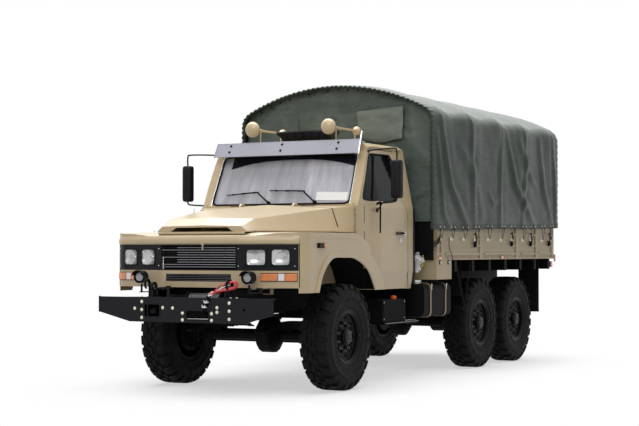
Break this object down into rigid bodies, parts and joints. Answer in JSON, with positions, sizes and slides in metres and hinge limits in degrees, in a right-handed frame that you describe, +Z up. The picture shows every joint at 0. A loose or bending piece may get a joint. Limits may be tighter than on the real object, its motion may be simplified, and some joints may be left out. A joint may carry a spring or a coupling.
{
  "type": "military cargo truck",
  "caption": "Bonneted three-axle military cargo truck with a dropside bed under a tarpaulin on bows and a winch behind its bumper.",
  "frame": {"origin": "on the ground, under the middle of the truck's box", "axes": "+X to the truck's left, +Y to its rear, +Z up"},
  "size_m": [2.686, 7.558, 3.4038],
  "materials": {
    "tan_paint": "satin",
    "black_paint": "satin",
    "black_plastic": "matte",
    "tyre_rubber": "matte",
    "wheel_paint": "satin",
    "bare_steel": "satin",
    "window_glass": "gloss",
    "lamp_glass": "gloss",
    "amber_lens": "gloss",
    "red_paint": "gloss",
    "tarpaulin": "satin",
    "pale_plastic": "satin",
    "seat_cloth": "matte"
  },
  "bodies": {
    "chassis": {"air_horns": "tan_paint", "air_pipe": "black_plastic", "bow_hoops": "black_paint", "bow_posts": "black_paint", "bumper_frame": "black_paint", "cab_glass": "window_glass", "cab_shell": "tan_paint", "cab_steps": "black_paint", "canopy_cover": "tarpaulin", "cargo_floor": "black_paint", "cargo_sides": "tan_paint", "chassis_frame": "black_paint", "dashboard": "black_plastic", "driveline": "black_paint", "engine": "bare_steel", "fog_lamps": "black_plastic", "front_axle": "black_paint", "front_bumper": "black_paint", "front_fenders": "tan_paint", "fuel_tank": "black_paint", "grille": "black_plastic", "headboard": "black_paint", "headlamps": "lamp_glass", "indicators": "amber_lens", "leaf_springs": "black_paint", "mudguards": "black_plastic", "nose_panel": "tan_paint", "rear_axles": "black_paint", "rear_lamps": "amber_lens", "roof_hatch": "black_plastic", "seats": "seat_cloth", "sun_visor": "pale_plastic", "toolbox": "tan_paint", "tow_hitch": "black_paint", "winch": "black_paint", "winch_hook": "red_paint", "wipers": "black_plastic"},
    "door_left": {"door_left": "tan_paint", "door_glass_left": "window_glass", "mirror_left": "black_plastic"},
    "knuckle_left": {"knuckle_left": "black_paint"},
    "door_right": {"door_right": "tan_paint", "door_glass_right": "window_glass", "mirror_right": "black_plastic"},
    "knuckle_right": {"knuckle_right": "black_paint"},
    "hood": {"hood": "tan_paint"},
    "tailgate": {"tailgate": "tan_paint"},
    "tie_rod": {"tie_rod": "black_paint"},
    "wheel_front_left": {"tyre_front_left": "tyre_rubber", "rim_front_left": "wheel_paint"},
    "wheel_front_right": {"tyre_front_right": "tyre_rubber", "rim_front_right": "wheel_paint"},
    "wheel_mid_left": {"tyre_mid_left": "tyre_rubber", "rim_mid_left": "wheel_paint"},
    "wheel_mid_right": {"tyre_mid_right": "tyre_rubber", "rim_mid_right": "wheel_paint"},
    "wheel_rear_left": {"tyre_rear_left": "tyre_rubber", "rim_rear_left": "wheel_paint"},
    "wheel_rear_right": {"tyre_rear_right": "tyre_rubber", "rim_rear_right": "wheel_paint"}
  },
  "joints": [
    {"name": "door_left", "type": "hinge", "parent": "chassis", "child": "door_left", "pos_m": [0.974, -1.885, 1.78], "axis": [0, 0, -1], "range_deg": [0, 62]},
    {"name": "door_right", "type": "hinge", "parent": "chassis", "child": "door_right", "pos_m": [-0.974, -1.885, 1.78], "axis": [0, 0, 1], "range_deg": [0, 62]},
    {"name": "hood", "type": "hinge", "parent": "chassis", "child": "hood", "pos_m": [0, -2.077, 1.952], "axis": [-1, 0, 0], "range_deg": [0, 50]},
    {"name": "tailgate", "type": "hinge", "parent": "chassis", "child": "tailgate", "pos_m": [0, 3.701, 1.354], "axis": [-1, 0, 0], "range_deg": [0, 90]},
    {"name": "steer_left", "type": "hinge", "parent": "chassis", "child": "knuckle_left", "pos_m": [0.77, -2.331, 0.555], "axis": [0, 0, 1], "range_deg": [-28, 28]},
    {"name": "steer_right", "type": "hinge", "parent": "chassis", "child": "knuckle_right", "pos_m": [-0.77, -2.331, 0.555], "axis": [0, 0, 1], "range_deg": [-28, 28]},
    {"name": "tie_rod", "type": "hinge", "parent": "knuckle_left", "child": "tie_rod", "pos_m": [0.77, -2.031, 0.48], "axis": [0, 0, 1], "range_deg": [-28, 28]},
    {"name": "wheel_front_left", "type": "hinge", "parent": "knuckle_left", "child": "wheel_front_left", "pos_m": [0.965, -2.331, 0.555], "axis": [1, 0, 0], "continuous": true},
    {"name": "wheel_front_right", "type": "hinge", "parent": "knuckle_right", "child": "wheel_front_right", "pos_m": [-0.965, -2.331, 0.555], "axis": [1, 0, 0], "continuous": true},
    {"name": "wheel_mid_left", "type": "hinge", "parent": "chassis", "child": "wheel_mid_left", "pos_m": [0.965, 1.319, 0.555], "axis": [1, 0, 0], "continuous": true},
    {"name": "wheel_mid_right", "type": "hinge", "parent": "chassis", "child": "wheel_mid_right", "pos_m": [-0.965, 1.319, 0.555], "axis": [1, 0, 0], "continuous": true},
    {"name": "wheel_rear_left", "type": "hinge", "parent": "chassis", "child": "wheel_rear_left", "pos_m": [0.965, 2.569, 0.555], "axis": [1, 0, 0], "continuous": true},
    {"name": "wheel_rear_right", "type": "hinge", "parent": "chassis", "child": "wheel_rear_right", "pos_m": [-0.965, 2.569, 0.555], "axis": [1, 0, 0], "continuous": true}
  ],
  "couplings": [
    {"joint": "steer_right", "follows": "steer_left", "ratio": 1},
    {"joint": "tie_rod", "follows": "steer_left", "ratio": -1}
  ]
}
